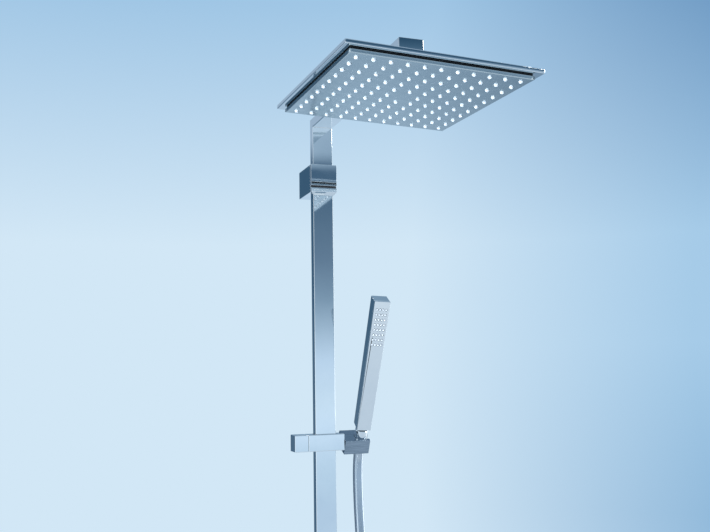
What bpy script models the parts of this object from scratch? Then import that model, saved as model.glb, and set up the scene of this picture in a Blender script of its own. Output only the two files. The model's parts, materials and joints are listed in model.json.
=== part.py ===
"""Rainfall shower column: bracket, riser, swivel arm, square overhead shower, hand shower and mixer.

Frame: the origin is the centre of the wall bracket's back face, X runs right along the wall,
Y runs into the wall and Z runs up. Lengths are metres. Every sub-part is one named object with
its own material, and every moving group hangs from an empty that sits on its joint's axis.
"""

from math import cos, pi, radians, sin, sqrt

import bmesh
import bpy
from mathutils import Matrix, Vector

MM = 0.001

# ---- clearances ----
GAP = 0.3 * MM              # between pieces that touch
RUNNING = 0.4 * MM          # between pieces that slide or turn on each other

# ---- rectangular tube of the riser and the arm ----
TUBE_WIDTH = 30.0 * MM
TUBE_DEPTH = 13.5 * MM
TUBE_WALL = 1.5 * MM
COLUMN_OUT = 50.5 * MM      # wall to the riser's axis
ARM_UNDERSIDE = 77.5 * MM   # height of the arm's lower face
ARM_REACH = 336.75 * MM     # riser's axis to the arm's front end
ARM_CAP = 2.0 * MM          # thickness of the arm's end cap
CAP_TONGUE = 9.0 * MM       # how far the end cap reaches into the arm

# ---- wall bracket ----
BRACKET_WIDTH = 39.0 * MM
BRACKET_HEIGHT = 41.0 * MM
BRACKET_LIP = 5.2 * MM      # bracket's front stands this far before the riser
SEAM_HEIGHT = -10.9 * MM    # lower edge of the front cap
SEAM_GAP = 3.0 * MM         # seam between the front cap and the lower lip
LIP_EDGE = -20.0 * MM       # where the lower lip starts to taper
LIP_FOOT = -24.6 * MM       # lower end of the lip's taper
BASE_DEPTH = 29.7 * MM      # wall base inside the housing
BASE_WALL = 3.6 * MM        # housing wall around the base
SCREW_INSET = 11.5 * MM     # bracket's upper or lower edge to a screw's axis
SCREW_RADIUS = 2.3 * MM
SCREW_HEAD = 4.6 * MM
SCREW_SEAT = -8.0 * MM      # under the screws' heads
GRUB_OUT = 15.0 * MM        # wall to the grub screw's axis
GRUB_RADIUS = 2.2 * MM
BUSH_FOOT = 2.0 * MM        # lower face of the swivel bush
SPIGOT_RADIUS = 4.2 * MM
SPIGOT_BORE = 2.2 * MM
SPIGOT_FOOT = -13.0 * MM
ORING_HEIGHTS = (-3.5 * MM, -9.5 * MM)
ORING_GROOVE = 3.0 * MM
ORING_DEPTH = 0.8 * MM

# ---- overhead shower ----
HEAD_REACH = 309.7 * MM     # riser's axis to the ball
BALL_DROP = 20.5 * MM       # arm's lower face to the ball's centre
BALL_RADIUS = 9.0 * MM
NECK_RADIUS = 4.8 * MM
STUD_SHANK = 5.7 * MM
STUD_FLANGE = 9.5 * MM
LOCKNUT_RADIUS = 9.6 * MM
WATERWAY = 2.6 * MM
SEAT_WALL = 1.0 * MM        # ring that the ball sits on
SEAT_FROM = 35.0            # degrees from straight down
SEAT_TO = 65.0
SOCKET_WALL = 1.4 * MM
SOCKET_LEDGE = 2.0 * MM     # how far the socket's flange stands out
NUT_WALL = 3.2 * MM
FACE_DROP = 26.1 * MM       # ball's centre to the spray face
PLATE_INSET = 8.0 * MM      # cover's edge to the spray plate's edge
PLATE_HEIGHT = 4.0 * MM
PLATE_SKIN = 2.0 * MM
PLATE_RIM = 3.0 * MM
GROOVE_HEIGHT = 1.6 * MM
COVER_SIZE = 230.0 * MM
COVER_HEIGHT = 4.7 * MM
COVER_SKIN = 1.8 * MM
CAVITY_INSET = 17.0 * MM    # cover's edge to the cavity under it
FIELD_INSET = 11.0 * MM     # spray plate's edge to the first row of nozzles
NOZZLE_ROWS = 11
NOZZLE_BASE = 2.4 * MM
NOZZLE_TIP = 1.7 * MM
NOZZLE_STANDS = 1.7 * MM
MAT_SHEET = 1.2 * MM
HEAD_YAW = 2.05             # degrees that the head hangs off square
HEAD_ROLL = 1.16

# ---- slider on the riser ----
SLIDER_HEIGHT = -380.5 * MM
SLIDER_WIDTH = 52.9 * MM
SLIDER_DEPTH = 24.0 * MM
SLIDER_TALL = 23.5 * MM
KNOB_LENGTH = 20.0 * MM
LINER_WALL = 1.0 * MM
SHAFT_RADIUS = 4.3 * MM
PAD_SIZE = 6.2 * MM
PAD_LENGTH = 4.0 * MM
PAD_TRAVEL = 1.0 * MM

# ---- cradle and hand shower ----
CRADLE_WIDTH = 37.5 * MM
CRADLE_TOP = 7.2 * MM       # above the tilt axis
CRADLE_FOOT = -14.3 * MM
CRADLE_FRONT = -13.2 * MM
CRADLE_BACK = 18.8 * MM
CRADLE_TILT = 25.0          # degrees forward
PIN_RADIUS = 5.0 * MM
SEAT_OFFSET = 27.0 * MM     # cradle's inner face to the seat's axis
NUT_SHELL = 1.7 * MM        # wall of the conical nut round the nipple
CONE_TAPER = 1.3 * MM       # its radius at the seat's top less that at the foot
HOSE_PLAY = 1.6 * MM        # cradle's slot less the hose
HAND_SPIN = -6.9            # degrees that the hand shower is turned in its seat
HAND_FOOT = 22.5 * MM       # tilt axis to the hand shower's lower end
HAND_LENGTH = 196.0 * MM
HAND_DEPTH = 24.0 * MM
HAND_TOP_WIDTH = 22.2 * MM
HAND_FOOT_WIDTH = 19.8 * MM
HAND_WALL = 1.8 * MM
HAND_FRONT = 2.5 * MM       # thickness of the front plate
HAND_INSET = 4.65 * MM      # hand shower's top corner to its first column of nozzles
HAND_PITCH_Z = 7.4 * MM
HAND_COLUMNS = 4
HAND_ROWS = 8
HAND_FIRST_ROW = 11.8 * MM  # below the top end
HAND_NOZZLE = 1.3 * MM
NIPPLE_RADIUS = 7.6 * MM
NIPPLE_BORE = 4.5 * MM
HOSE_DIAMETER = 14.0 * MM

# ---- mixer at the foot of the riser ----
MIXER_HEIGHT = -900.0 * MM
MIXER_WIDTH = 200.0 * MM
MIXER_DEPTH = 42.0 * MM
MIXER_TALL = 38.0 * MM
INLET_PITCH = 150.0 * MM
ROSE_SIZE = 60.0 * MM
ROSE_DEPTH = 8.0 * MM
UNION_RADIUS = 12.0 * MM
UNION_BORE = 7.0 * MM
HANDLE_SIZE = 38.0 * MM
HANDLE_LENGTH = 44.0 * MM
CARTRIDGE_RADIUS = 13.0 * MM
CARTRIDGE_LENGTH = 38.0 * MM
STEM_RADIUS = 4.0 * MM
OUTLET_X = -62.0 * MM
FOOT_HEIGHT = 15.0 * MM     # height of the riser's foot collar

# ---- shower hose: its route's points from the cradle to the mixer's outlet, in millimetres ----
HOSE_ROUTE = (
    (54.1, -44.2, -394.0), (54.1, -41.3, -402.5), (54.0, -39.3, -413.0), (53.9, -38.1, -428.0),
    (53.9, -38.2, -447.0), (53.9, -39.7, -471.0), (54.0, -43.0, -502.0), (54.1, -48.6, -543.0),
    (54.3, -56.8, -597.0), (54.7, -66.5, -662.0), (55.3, -75.8, -735.0), (56.2, -83.2, -812.0),
    (57.2, -87.9, -890.0), (58.3, -89.6, -965.0), (59.2, -88.9, -1037.0), (59.9, -87.0, -1100.0),
    (60.3, -84.9, -1150.0), (60.0, -83.0, -1186.0), (55.3, -81.4, -1212.9), (41.3, -79.6, -1236.7),
    (20.0, -77.6, -1252.5), (-4.0, -75.4, -1257.7), (-28.0, -73.0, -1252.5), (-49.3, -70.4, -1236.7),
    (-63.3, -67.6, -1212.9), (-68.0, -64.8, -1186.0), (-69.0, -61.0, -1143.0), (-68.2, -56.9, -1096.0),
    (-66.3, -53.5, -1051.0), (-64.0, -51.3, -1010.0), (-62.4, -50.6, -974.0), (-62.0, -50.5, -945.6),
)
HOSE_STEPS = 2              # tube rings for each stretch between two route points


# ---- materials ----
def finish(name, colour, roughness, metallic):
    made = bpy.data.materials.get(name)
    if made is None:
        made = bpy.data.materials.new(name)
        made.use_nodes = True
        shader = made.node_tree.nodes["Principled BSDF"]
        shader.inputs["Base Color"].default_value = (*colour, 1.0)
        shader.inputs["Roughness"].default_value = roughness
        shader.inputs["Metallic"].default_value = metallic
    return made


def chrome():
    return finish("chrome", (0.78, 0.82, 0.86), 0.06, 1.0)


def satin():
    return finish("satin_chrome", (0.50, 0.56, 0.62), 0.30, 1.0)


def steel():
    return finish("steel", (0.62, 0.62, 0.62), 0.30, 1.0)


def brass():
    return finish("brass", (0.72, 0.56, 0.28), 0.30, 1.0)


def rubber():
    return finish("black_rubber", (0.02, 0.02, 0.025), 0.60, 0.0)


def silicone():
    return finish("silicone", (0.90, 0.93, 0.95), 0.35, 0.0)


def plastic():
    return finish("black_plastic", (0.04, 0.04, 0.045), 0.45, 0.0)


def hose_skin():
    return finish("silver_hose", (0.66, 0.70, 0.74), 0.25, 0.6)


# ---- placing ----
def pivot(name, place, parent=None, turn=(0.0, 0.0, 0.0)):
    """An empty on a joint's axis, which its group hangs from."""
    empty = bpy.data.objects.new(name, None)
    empty.location = place
    empty.rotation_euler = [radians(angle) for angle in turn]
    empty.parent = parent
    bpy.context.collection.objects.link(empty)
    return empty


def piece(name, mesh, material, parent=None):
    mesh.materials.append(material)
    made = bpy.data.objects.new(name, mesh)
    made.parent = parent
    bpy.context.collection.objects.link(made)
    return made


def cutter(name, mesh, parent=None):
    made = bpy.data.objects.new(name, mesh)
    made.parent = parent
    made.hide_render = True
    made.display_type = "WIRE"
    bpy.context.collection.objects.link(made)
    return made


def boolean(target, other, operation):
    step = target.modifiers.new(other.name, "BOOLEAN")
    step.operation = operation
    step.solver = "EXACT"
    step.object = other


def cut(target, mesh):
    other = cutter(f"cut_{target.name}_{len(target.modifiers)}", mesh, target.parent)
    boolean(target, other, "DIFFERENCE")


def add(target, mesh):
    other = cutter(f"add_{target.name}_{len(target.modifiers)}", mesh, target.parent)
    boolean(target, other, "UNION")


# ---- shapes ----
def to_mesh(made, name="shape", smooth=False):
    bmesh.ops.recalc_face_normals(made, faces=made.faces)
    mesh = bpy.data.meshes.new(name)
    made.to_mesh(mesh)
    made.free()
    if smooth:
        mesh.shade_smooth()
        mesh.set_sharp_from_angle(angle=radians(35))
    return mesh


def block(low, high):
    """A box between two corners."""
    low, high = Vector(low), Vector(high)
    made = bmesh.new()
    place = Matrix.Translation((low + high) / 2) @ Matrix.Diagonal((*(high - low), 1.0))
    bmesh.ops.create_cube(made, size=1.0, matrix=place)
    return to_mesh(made)


def slab(half_x, half_y, low, high, centre=(0.0, 0.0)):
    """A box centred on a vertical axis, between two heights."""
    x, y = centre
    return block((x - half_x, y - half_y, low), (x + half_x, y + half_y, high))


def prism(outline, low, high):
    """An outline of (y, z) points carried along X from low to high."""
    made = bmesh.new()
    face = made.faces.new([made.verts.new((low, y, z)) for y, z in outline])
    far = bmesh.ops.extrude_face_region(made, geom=[face])["geom"]
    moved = [item for item in far if isinstance(item, bmesh.types.BMVert)]
    bmesh.ops.translate(made, verts=moved, vec=(high - low, 0.0, 0.0))
    return to_mesh(made)


def loft(sections):
    """Rectangles (half width, y front, y back, z) joined one above the other."""
    made = bmesh.new()
    rings = [
        [made.verts.new(p) for p in ((-w, front, z), (w, front, z), (w, back, z), (-w, back, z))]
        for w, front, back, z in sections
    ]
    for lower, upper in zip(rings, rings[1:]):
        for k in range(4):
            n = (k + 1) % 4
            made.faces.new((lower[k], lower[n], upper[n], upper[k]))
    made.faces.new(rings[0][::-1])
    made.faces.new(rings[-1])
    return to_mesh(made)


def direction(along):
    """The turn that takes the Z axis to the named axis."""
    return {
        "Z": Matrix.Identity(4),
        "X": Matrix.Rotation(pi / 2, 4, "Y"),
        "Y": Matrix.Rotation(-pi / 2, 4, "X"),
    }[along]


def turned(profile, along="Z", centre=(0.0, 0.0, 0.0), sides=16, open_bore=False):
    """A profile of (radius, height) points turned about an axis.

    A solid one starts and ends on the axis. With open_bore the profile is a closed loop that
    stays off the axis, and the shape is a ring.
    """
    made = bmesh.new()
    place = Matrix.Translation(centre) @ direction(along)
    rings = []
    for radius, height in profile:
        count = sides if radius > 0.0 else 1
        rings.append([
            made.verts.new(place @ Vector((
                radius * cos(2 * pi * k / sides), radius * sin(2 * pi * k / sides), height)))
            for k in range(count)
        ])
    following = rings[1:] + rings[:1] if open_bore else rings[1:]
    for here, there in zip(rings, following):
        for k in range(sides):
            n = (k + 1) % sides
            corners = [here[k % len(here)], here[n % len(here)]]
            corners += [there[n % len(there)], there[k % len(there)]]
            made.faces.new(list(dict.fromkeys(corners)))
    return to_mesh(made, smooth=sides > 8)


def rod(radius, low, high, along="Z", centre=(0.0, 0.0, 0.0), sides=16):
    profile = ((0.0, low), (radius, low), (radius, high), (0.0, high))
    return turned(profile, along, centre, sides)


def ring(inner, outer, low, high, along="Z", centre=(0.0, 0.0, 0.0), sides=16):
    profile = ((inner, low), (outer, low), (outer, high), (inner, high))
    return turned(profile, along, centre, sides, open_bore=True)


def ball_arc(radius, start, end, steps):
    """Points of a sphere's outline between two heights."""
    heights = [start + (end - start) * k / steps for k in range(steps + 1)]
    return [(sqrt(radius ** 2 - height ** 2), height) for height in heights]


def together(meshes):
    """Several closed shapes in one mesh, for a cutter or for a union."""
    made = bmesh.new()
    for mesh in meshes:
        made.from_mesh(mesh)
        bpy.data.meshes.remove(mesh)
    return to_mesh(made)


# ---- wall bracket ----
TUBE_FRONT = -COLUMN_OUT - TUBE_DEPTH / 2
TUBE_BACK = -COLUMN_OUT + TUBE_DEPTH / 2
BRACKET_FRONT = TUBE_FRONT - BRACKET_LIP
CAP_BACK = TUBE_FRONT - GAP
BRACKET_TOP = BRACKET_HEIGHT / 2
SCREW_OUT = BRACKET_TOP - SCREW_INSET
AXIS = (0.0, -COLUMN_OUT, 0.0)


def bracket_base():
    """Block screwed to the wall, inside the housing."""
    half_x = BRACKET_WIDTH / 2 - BASE_WALL - GAP
    half_z = BRACKET_HEIGHT / 2 - BASE_WALL - GAP
    base = piece("bracket_base", block((-half_x, -BASE_DEPTH, -half_z), (half_x, 0.0, half_z)), steel())
    front = -BASE_DEPTH - MM
    wide, narrow = SCREW_HEAD + GAP, SCREW_RADIUS + GAP
    hole = ((0.0, front), (wide, front), (wide, SCREW_SEAT), (narrow, SCREW_SEAT), (narrow, MM), (0.0, MM))
    for side in (-1, 1):
        cut(base, turned(hole, "Y", (0.0, 0.0, side * SCREW_OUT), 12))


def bracket_screw(name, side):
    """Screw with a driver recess in its head."""
    front, under = SCREW_SEAT - 5.0 * MM, SCREW_SEAT - GAP
    recess = 1.4 * MM
    profile = ((0.0, front + recess), (recess, front + recess), (recess, front), (SCREW_HEAD - MM, front),
               (SCREW_HEAD, front + 2.0 * MM), (SCREW_HEAD, under), (SCREW_RADIUS, under),
               (SCREW_RADIUS, -0.5 * MM), (0.0, -0.5 * MM))
    piece(name, turned(profile, "Y", (0.0, 0.0, side * SCREW_OUT), 12), steel())


def bracket_housing():
    """Body between the wall and the riser, open at the front for the tube and behind for the base."""
    half_x = BRACKET_WIDTH / 2
    body = block((-half_x, TUBE_FRONT, -BRACKET_TOP), (half_x, 0.0, BRACKET_TOP))
    housing = piece("bracket_housing", body, chrome())
    channel_x = TUBE_WIDTH / 2 + GAP
    beyond = BRACKET_HEIGHT
    cut(housing, block((-channel_x, TUBE_FRONT - MM, -beyond), (channel_x, TUBE_BACK + GAP, beyond)))
    pocket_x = half_x - BASE_WALL
    pocket_z = BRACKET_TOP - BASE_WALL
    cut(housing, block((-pocket_x, -BASE_DEPTH - GAP, -pocket_z), (pocket_x, MM, pocket_z)))
    hole = GRUB_RADIUS + GAP
    cut(housing, rod(hole, -BRACKET_HEIGHT, -pocket_z + MM, centre=(0.0, -GRUB_OUT, 0.0), sides=12))


def bracket_grub_screw():
    high = -BRACKET_TOP + BASE_WALL
    low = -BRACKET_TOP + 0.5 * MM
    socket = GRUB_RADIUS / 2
    profile = ((0.0, low + MM), (socket, low + MM), (socket, low), (GRUB_RADIUS, low),
               (GRUB_RADIUS, high), (0.0, high))
    piece("bracket_grub_screw", turned(profile, centre=(0.0, -GRUB_OUT, 0.0), sides=12), steel())


def bracket_front():
    """Front cap, the dark strip in its seam and the tapered lip below it."""
    half_x = BRACKET_WIDTH / 2
    cap = block((-half_x, BRACKET_FRONT, SEAM_HEIGHT), (half_x, CAP_BACK, BRACKET_TOP))
    piece("bracket_front_cap", cap, chrome())
    strip_x = half_x - 0.6 * MM
    low, high = SEAM_HEIGHT - SEAM_GAP + GAP, SEAM_HEIGHT - GAP
    strip = block((-strip_x, BRACKET_FRONT + 0.8 * MM, low), (strip_x, CAP_BACK, high))
    piece("bracket_gasket", strip, rubber())
    foot_x = TUBE_WIDTH / 2
    lip = loft((
        (foot_x, CAP_BACK - 0.6 * MM, CAP_BACK, LIP_FOOT),
        (half_x, BRACKET_FRONT, CAP_BACK, LIP_EDGE),
        (half_x, BRACKET_FRONT, CAP_BACK, SEAM_HEIGHT - SEAM_GAP),
    ))
    piece("bracket_lower_lip", lip, chrome())


def swivel_bush():
    """Plain bearing for the arm's spigot, held in the housing's channel."""
    half_x = TUBE_WIDTH / 2 - GAP
    half_y = TUBE_DEPTH / 2 - GAP
    bush = piece("swivel_bush", slab(half_x, half_y, BUSH_FOOT, BRACKET_TOP - GAP, AXIS[:2]), plastic())
    cut(bush, rod(SPIGOT_RADIUS + RUNNING, -BRACKET_TOP, BRACKET_HEIGHT, centre=AXIS))


# ---- riser ----
RISER_TOP = BUSH_FOOT - GAP
RISER_FOOT = MIXER_HEIGHT + MIXER_TALL / 2 + GAP
BORE_X = TUBE_WIDTH / 2 - TUBE_WALL
BORE_Y = TUBE_DEPTH / 2 - TUBE_WALL


def riser_tube():
    outer = slab(TUBE_WIDTH / 2, TUBE_DEPTH / 2, RISER_FOOT, RISER_TOP, AXIS[:2])
    tube = piece("riser_tube", outer, chrome())
    cut(tube, slab(BORE_X, BORE_Y, RISER_FOOT - MM, RISER_TOP + MM, AXIS[:2]))


def riser_plugs():
    """Plugs in the riser's ends: the top one takes the arm's spigot, the foot one has a spout."""
    half_x, half_y = BORE_X - GAP, BORE_Y - GAP
    upper = slab(half_x, half_y, SPIGOT_FOOT - 3.0 * MM, RISER_TOP - 0.5 * MM, AXIS[:2])
    top = piece("riser_top_plug", upper, brass())
    cut(top, rod(SPIGOT_BORE + GAP, -BRACKET_HEIGHT, BRACKET_HEIGHT, centre=AXIS))
    cut(top, rod(SPIGOT_RADIUS + GAP, SPIGOT_FOOT - GAP, BRACKET_HEIGHT, centre=AXIS))
    lower = slab(half_x, half_y, RISER_FOOT + 0.5 * MM, RISER_FOOT + 14.0 * MM, AXIS[:2])
    foot = piece("riser_foot_plug", lower, brass())
    spout_foot = RISER_FOOT - 8.0 * MM
    add(foot, rod(5.0 * MM, spout_foot, RISER_FOOT + 3.0 * MM, centre=AXIS))
    cut(foot, rod(3.4 * MM, spout_foot - MM, RISER_FOOT + 20.0 * MM, centre=AXIS))


def riser_foot_collar():
    half_x = BRACKET_WIDTH / 2
    half_y = TUBE_DEPTH / 2 + BRACKET_LIP
    low, high = RISER_FOOT, RISER_FOOT + FOOT_HEIGHT
    collar = piece("riser_foot_collar", slab(half_x, half_y, low, high, AXIS[:2]), chrome())
    cut(collar, slab(TUBE_WIDTH / 2 + GAP, TUBE_DEPTH / 2 + GAP, low - MM, high + MM, AXIS[:2]))


# ---- swivel arm: local origin on the swivel axis, at the bracket's top ----
ARM_FOOT = RUNNING
ARM_LOW = ARM_UNDERSIDE - BRACKET_TOP
ARM_TOP = ARM_LOW + TUBE_DEPTH


def arm_tube(axis):
    """Upper riser and arm in one mitred tube: an outline of the bend carried across the width."""
    front, back = -TUBE_DEPTH / 2, TUBE_DEPTH / 2
    end = -ARM_REACH + ARM_CAP + GAP
    outer = (
        (back, ARM_FOOT), (back, ARM_TOP), (end, ARM_TOP),
        (end, ARM_LOW), (front, ARM_LOW), (front, ARM_FOOT),
    )
    tube = piece("arm_tube", prism(outer, -TUBE_WIDTH / 2, TUBE_WIDTH / 2), chrome(), axis)
    wall = TUBE_WALL
    inner = (
        (back - wall, ARM_FOOT - MM), (back - wall, ARM_TOP - wall), (end - MM, ARM_TOP - wall),
        (end - MM, ARM_LOW + wall), (front + wall, ARM_LOW + wall), (front + wall, ARM_FOOT - MM),
    )
    cut(tube, prism(inner, -BORE_X, BORE_X))
    cut(tube, rod(STUD_SHANK + GAP, ARM_LOW - MM, ARM_LOW + wall + MM, centre=(0.0, -HEAD_REACH, 0.0)))


def arm_spigot(axis):
    """Plug in the foot of the arm's tube with the grooved shaft that turns in the bush."""
    foot = SPIGOT_FOOT - BRACKET_TOP
    groove = SPIGOT_RADIUS - ORING_DEPTH
    profile = [(SPIGOT_RADIUS, ARM_FOOT + MM)]
    for height in ORING_HEIGHTS:
        top = height - BRACKET_TOP + ORING_GROOVE / 2
        low = top - ORING_GROOVE
        profile += [(SPIGOT_RADIUS, top), (groove, top), (groove, low), (SPIGOT_RADIUS, low)]
    profile += [(SPIGOT_RADIUS, foot), (SPIGOT_BORE, foot), (SPIGOT_BORE, ARM_FOOT + MM)]
    shape = slab(BORE_X - GAP, BORE_Y - GAP, ARM_FOOT + GAP, ARM_FOOT + 18.0 * MM)
    plug = piece("arm_spigot", shape, brass(), axis)
    cut(plug, rod(SPIGOT_BORE, -MM, ARM_FOOT + 20.0 * MM))
    add(plug, turned(profile, open_bore=True))


def spigot_orings(axis):
    for name, height in zip(("spigot_oring_upper", "spigot_oring_lower"), ORING_HEIGHTS):
        low = height - BRACKET_TOP - ORING_GROOVE / 2 + GAP
        high = low + ORING_GROOVE - 2 * GAP
        inner = SPIGOT_RADIUS - ORING_DEPTH + GAP / 2
        piece(name, ring(inner, SPIGOT_RADIUS + GAP / 3, low, high), rubber(), axis)


def arm_end_cap(axis):
    end = -ARM_REACH
    cap = block((-TUBE_WIDTH / 2, end, ARM_LOW), (TUBE_WIDTH / 2, end + ARM_CAP, ARM_TOP))
    made = piece("arm_end_cap", cap, chrome(), axis)
    half_x = BORE_X - GAP
    low, high = ARM_LOW + TUBE_WALL + GAP, ARM_TOP - TUBE_WALL - GAP
    add(made, block((-half_x, end + MM, low), (half_x, end + ARM_CAP + CAP_TONGUE, high)))


def ball_stud(axis):
    """Ball on a neck, its flange under the arm and its bored shank through the arm's wall."""
    centre = (0.0, -HEAD_REACH, ARM_LOW - BALL_DROP)
    flange_top = BALL_DROP - GAP
    neck_start = sqrt(BALL_RADIUS ** 2 - NECK_RADIUS ** 2)
    bore_start = -sqrt(BALL_RADIUS ** 2 - WATERWAY ** 2)
    top = BALL_DROP + 7.0 * MM
    profile = [(WATERWAY, bore_start)] + ball_arc(BALL_RADIUS, bore_start + 0.6 * MM, neck_start, 8) + [
        (NECK_RADIUS, flange_top - 4.0 * MM), (STUD_FLANGE, flange_top - 3.0 * MM),
        (STUD_FLANGE, flange_top), (STUD_SHANK, flange_top), (STUD_SHANK, top), (WATERWAY, top),
    ]
    piece("ball_stud", turned(profile, centre=centre, open_bore=True), chrome(), axis)
    low = BALL_DROP + TUBE_WALL + GAP
    bore = (STUD_SHANK + GAP) / cos(pi / 6)
    locknut = ring(bore, LOCKNUT_RADIUS, low, low + 3.6 * MM, centre=centre, sides=6)
    piece("stud_locknut", locknut, brass(), axis)


# ---- overhead shower: local origin at the ball's centre ----
CUP_RADIUS = BALL_RADIUS + 2 * GAP + SEAT_WALL
SOCKET_RADIUS = CUP_RADIUS + SOCKET_WALL
SOCKET_FLANGE = SOCKET_RADIUS + SOCKET_LEDGE
NUT_RADIUS = SOCKET_RADIUS + GAP + NUT_WALL
PLATE_SIZE = COVER_SIZE - 2 * PLATE_INSET
NOZZLE_PITCH = (PLATE_SIZE - 2 * FIELD_INSET) / (NOZZLE_ROWS - 1)
FACE = -FACE_DROP
PLATE_TOP = FACE + PLATE_HEIGHT
COVER_LOW = PLATE_TOP + GROOVE_HEIGHT
COVER_TOP = COVER_LOW + COVER_HEIGHT
MAT_LOW = FACE + PLATE_SKIN + GAP


def nozzle_places():
    """The square nozzle field, with its middle place left free."""
    middle = (NOZZLE_ROWS - 1) / 2
    for column in range(NOZZLE_ROWS):
        for row in range(NOZZLE_ROWS):
            if (column, row) != (middle, middle):
                yield (column - middle) * NOZZLE_PITCH, (row - middle) * NOZZLE_PITCH


def head_socket(head):
    """Cup around the ball and its seat ring, standing on the cover."""
    flange = COVER_TOP + GAP
    bore = 4.7 * MM
    profile = ball_arc(CUP_RADIUS, 0.0, -sqrt(CUP_RADIUS ** 2 - bore ** 2), 6) + [
        (bore, flange), (SOCKET_FLANGE, flange), (SOCKET_FLANGE, flange + 2.0 * MM),
        (SOCKET_RADIUS, flange + 2.0 * MM), (SOCKET_RADIUS, 0.0)]
    piece("head_socket", turned(profile, sides=20, open_bore=True), chrome(), head)
    low = flange + GAP
    piece("head_inlet_filter", rod(bore - 0.4 * MM, low, low + 2.0 * MM), steel(), head)


def ball_seat_ring(centre):
    """Band between two spheres about the ball's centre, so it turns freely between ball and cup."""
    inner = BALL_RADIUS + GAP
    outer = inner + SEAT_WALL
    angles = [radians(SEAT_FROM + (SEAT_TO - SEAT_FROM) * k / 3) for k in range(4)]
    profile = [(outer * sin(a), -outer * cos(a)) for a in angles]
    profile += [(inner * sin(a), -inner * cos(a)) for a in reversed(angles)]
    piece("ball_seat_ring", turned(profile, open_bore=True), silicone(), centre)


def ball_nut(head):
    """Collar that holds the ball down in its socket."""
    seat = BALL_RADIUS + GAP
    mouth = 4.6 * MM
    top = mouth + 0.6 * MM
    profile = ball_arc(seat, GAP, mouth, 4) + [
        (sqrt(seat ** 2 - mouth ** 2), top), (NUT_RADIUS - 1.5 * MM, top), (NUT_RADIUS, top - 1.6 * MM),
        (NUT_RADIUS, -9.0 * MM), (SOCKET_RADIUS + GAP, -9.0 * MM), (SOCKET_RADIUS + GAP, GAP),
    ]
    piece("ball_nut", turned(profile, sides=20, open_bore=True), chrome(), head)


def head_cover(head):
    half = COVER_SIZE / 2
    cavity = half - CAVITY_INSET
    cover = piece("head_cover", slab(half, half, COVER_LOW, COVER_TOP), chrome(), head)
    cut(cover, slab(cavity, cavity, COVER_LOW - MM, COVER_TOP - COVER_SKIN))
    cut(cover, rod(6.0 * MM, COVER_LOW, COVER_TOP + MM))
    inner = cavity - 0.5 * MM
    sheet = slab(inner, inner, COVER_LOW + GAP, COVER_LOW + 1.5 * MM)
    manifold = piece("head_manifold", sheet, plastic(), head)
    cut(manifold, rod(6.0 * MM, COVER_LOW, COVER_TOP))


def head_gasket(head):
    """Dark frame in the groove between the cover and the spray plate."""
    outer, inner = PLATE_SIZE / 2 - 1.5 * MM, PLATE_SIZE / 2 - 10.0 * MM
    low, high = PLATE_TOP + GAP, COVER_LOW - GAP
    gasket = piece("head_gasket", slab(outer, outer, low, high), rubber(), head)
    cut(gasket, slab(inner, inner, low - MM, high + MM))


def head_spray_plate(head):
    """Tray with a hole for every nozzle."""
    half = PLATE_SIZE / 2
    plate = piece("head_spray_plate", slab(half, half, FACE, PLATE_TOP), chrome(), head)
    inside = half - PLATE_RIM
    cut(plate, slab(inside, inside, FACE + PLATE_SKIN, PLATE_TOP + MM))
    hole = NOZZLE_BASE + GAP
    low, high = FACE - MM, FACE + PLATE_SKIN + MM
    holes = [rod(hole, low, high, centre=(x, y, 0.0), sides=6) for x, y in nozzle_places()]
    cut(plate, together(holes))


def head_nozzle_mat(head):
    """One soft sheet whose nozzles stand out through the spray plate."""
    half = PLATE_SIZE / 2 - PLATE_RIM - GAP
    mat = piece("head_nozzle_mat", slab(half, half, MAT_LOW, MAT_LOW + MAT_SHEET), silicone(), head)
    root = MAT_LOW + MAT_SHEET / 2
    tip = FACE - NOZZLE_STANDS
    profile = ((0.0, root), (NOZZLE_BASE, root), (NOZZLE_TIP, tip), (0.0, tip))
    add(mat, together([turned(profile, centre=(x, y, 0.0), sides=6) for x, y in nozzle_places()]))


# ---- slider: local origin at its centre, on the riser's axis ----
SLIDER_HALF = SLIDER_WIDTH / 2
HALF_DEPTH = SLIDER_DEPTH / 2
HALF_TALL = SLIDER_TALL / 2
LINER_BORE = (TUBE_WIDTH / 2 + RUNNING, TUBE_DEPTH / 2 + RUNNING)
LINER_OUTER = (LINER_BORE[0] + LINER_WALL, LINER_BORE[1] + LINER_WALL)
SLOT_X = LINER_OUTER[0] + GAP
PAD_FACE = -TUBE_WIDTH / 2 - GAP
SHAFT_END = PAD_FACE - PAD_LENGTH - PAD_TRAVEL - 2 * GAP
WASHER_DEPTH = 1.2 * MM


def slider_body(slider):
    body = piece("slider_body", slab(SLIDER_HALF, HALF_DEPTH, -HALF_TALL, HALF_TALL), chrome(), slider)
    beyond = SLIDER_TALL
    cut(body, slab(SLOT_X, LINER_OUTER[1] + GAP, -beyond, beyond))
    cut(body, rod(SHAFT_RADIUS + RUNNING, -SLIDER_HALF - MM, -SLOT_X + MM, "X"))
    cut(body, rod(PIN_RADIUS + RUNNING, SLOT_X + 1.8 * MM, SLIDER_HALF + MM, "X"))
    cut(body, rod(9.8 * MM, SLIDER_HALF - WASHER_DEPTH, SLIDER_HALF + MM, "X"))


def slider_liner(slider):
    """Plastic sleeve that runs on the riser, with a window for the brake pad."""
    liner = piece("slider_liner", slab(*LINER_OUTER, -HALF_TALL, HALF_TALL), plastic(), slider)
    cut(liner, slab(*LINER_BORE, -SLIDER_TALL, SLIDER_TALL))
    half = PAD_SIZE / 2 + GAP
    cut(liner, block((-SLOT_X, -half, -half), (-LINER_BORE[0] + MM, half, half)))


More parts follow.
